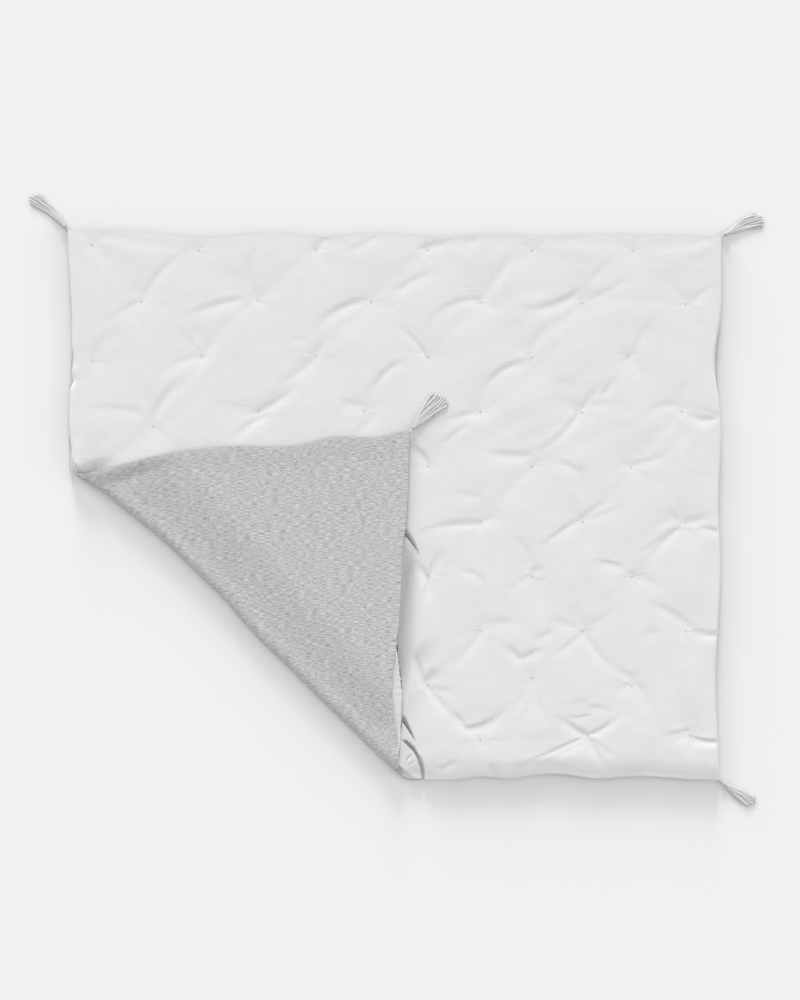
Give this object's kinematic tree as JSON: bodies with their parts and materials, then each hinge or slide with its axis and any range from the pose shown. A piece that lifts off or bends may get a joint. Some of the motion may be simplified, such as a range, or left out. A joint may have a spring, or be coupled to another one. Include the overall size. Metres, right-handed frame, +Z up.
{
  "type": "crib duvet",
  "caption": "Tufted white cotton crib duvet with a grey jersey back and corner tassels, lying flat with one corner turned back over it.",
  "frame": {"origin": "centre of the duvet's outline with its tassels, on the surface that it lies on", "axes": "+Z up off the surface, +X along the longer side, +Y along the shorter side towards the two corners that lie flat side by side"},
  "size_m": [1.3546, 1.1349, 0.0413],
  "materials": {
    "white_gauze": "soft matt cotton gauze with a fine crinkle",
    "heather_jersey": "matt knitted jersey, heathered light and mid grey",
    "tassel_yarn": "matt cotton yarn"
  },
  "bodies": {
    "root": {"quilted_face": "white_gauze", "back_panel": "heather_jersey", "tassel_top_left_cord": "tassel_yarn", "tassel_top_left_wrap": "tassel_yarn", "tassel_top_left_skirt": "tassel_yarn", "tassel_top_right_cord": "tassel_yarn", "tassel_top_right_wrap": "tassel_yarn", "tassel_top_right_skirt": "tassel_yarn", "tassel_bottom_right_cord": "tassel_yarn", "tassel_bottom_right_wrap": "tassel_yarn", "tassel_bottom_right_skirt": "tassel_yarn", "tassel_turned_cord": "tassel_yarn", "tassel_turned_wrap": "tassel_yarn", "tassel_turned_skirt": "tassel_yarn"}
  },
  "joints": []
}
